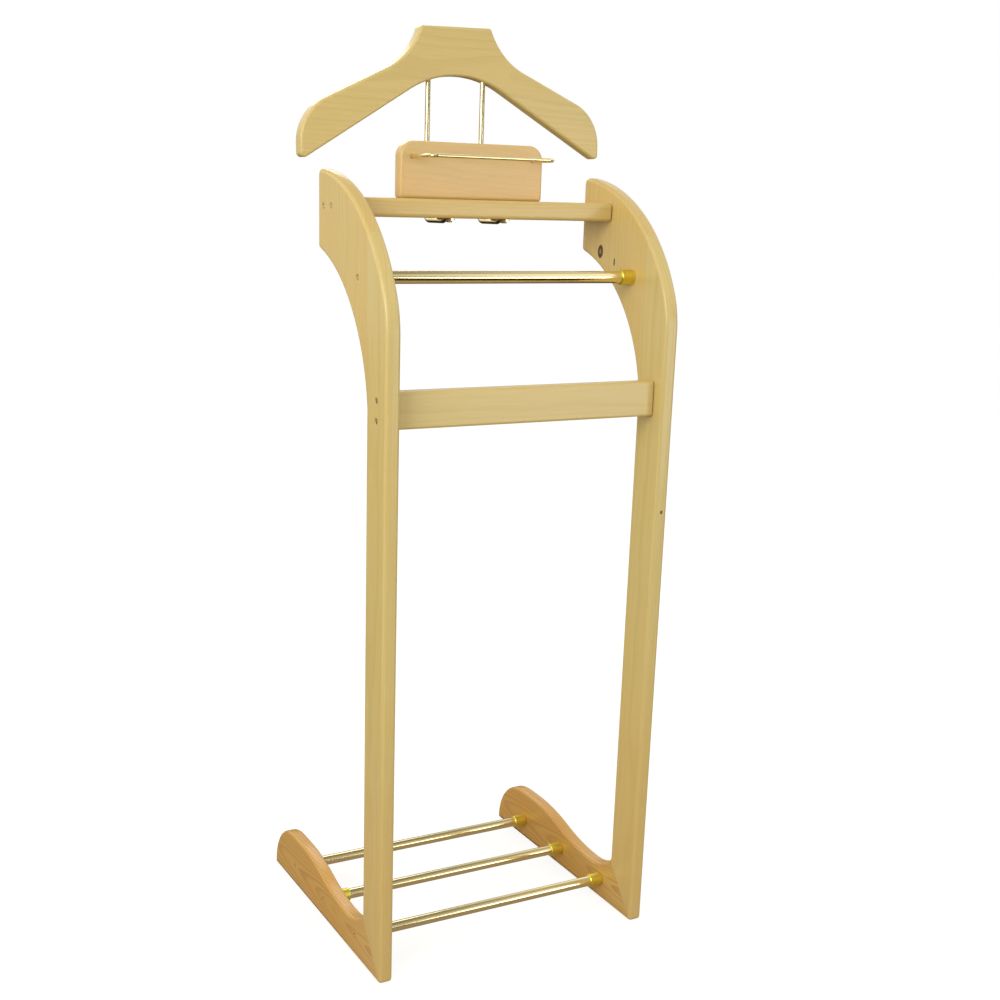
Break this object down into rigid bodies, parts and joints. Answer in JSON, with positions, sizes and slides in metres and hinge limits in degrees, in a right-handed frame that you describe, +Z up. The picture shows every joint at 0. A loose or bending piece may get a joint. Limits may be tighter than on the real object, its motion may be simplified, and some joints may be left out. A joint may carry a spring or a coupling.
{
  "type": "valet stand",
  "caption": "Free-standing pine valet stand with a coat hanger, tie bar, trouser bar and low shoe rack of brass bars.",
  "frame": {"origin": "centre of the bounding box's bottom face, on the floor", "axes": "+Z up, +Y from the front to the back, +X to the right seen from the front"},
  "size_m": [0.4552, 0.398, 1.247],
  "materials": {
    "pine_upright": "clear satin varnish on pale straight-grained pine",
    "pine_foot": "clear satin varnish on honey-coloured pine with cathedral grain",
    "pine_rail": "clear satin varnish on pale pine, grain along the rail",
    "pine_board": "clear satin varnish on peach-coloured pine",
    "pine_hanger": "clear satin varnish on pale pine, grain across",
    "brass_tube": "polished",
    "brass_socket": "polished",
    "brass_rod": "polished",
    "brass_screw": "satin",
    "beech_plug": "raw",
    "beech_dowel": "raw"
  },
  "bodies": {
    "root": {"left_post": "pine_upright", "right_post": "pine_upright", "left_head": "pine_upright", "right_head": "pine_upright", "left_foot": "pine_foot", "right_foot": "pine_foot", "middle_rail": "pine_rail", "top_shelf": "pine_rail", "back_board": "pine_board", "tie_bar": "brass_rod", "hanger": "pine_hanger", "left_hanger_rod": "brass_rod", "right_hanger_rod": "brass_rod", "hanger_rod_screws": "brass_screw", "trouser_bar": "brass_tube", "trouser_bar_sockets": "brass_socket", "front_shoe_bar": "brass_tube", "middle_shoe_bar": "brass_tube", "rear_shoe_bar": "brass_tube", "left_shoe_bar_sockets": "brass_socket", "right_shoe_bar_sockets": "brass_socket", "left_bar_plugs": "beech_plug", "right_bar_plugs": "beech_plug", "left_bar_screws": "brass_screw", "right_bar_screws": "brass_screw", "middle_rail_screws": "brass_screw", "shelf_screws": "brass_screw", "board_screws": "brass_screw", "left_mitre_dowels": "beech_dowel", "right_mitre_dowels": "beech_dowel", "left_head_dowels": "beech_dowel", "right_head_dowels": "beech_dowel"}
  },
  "joints": []
}
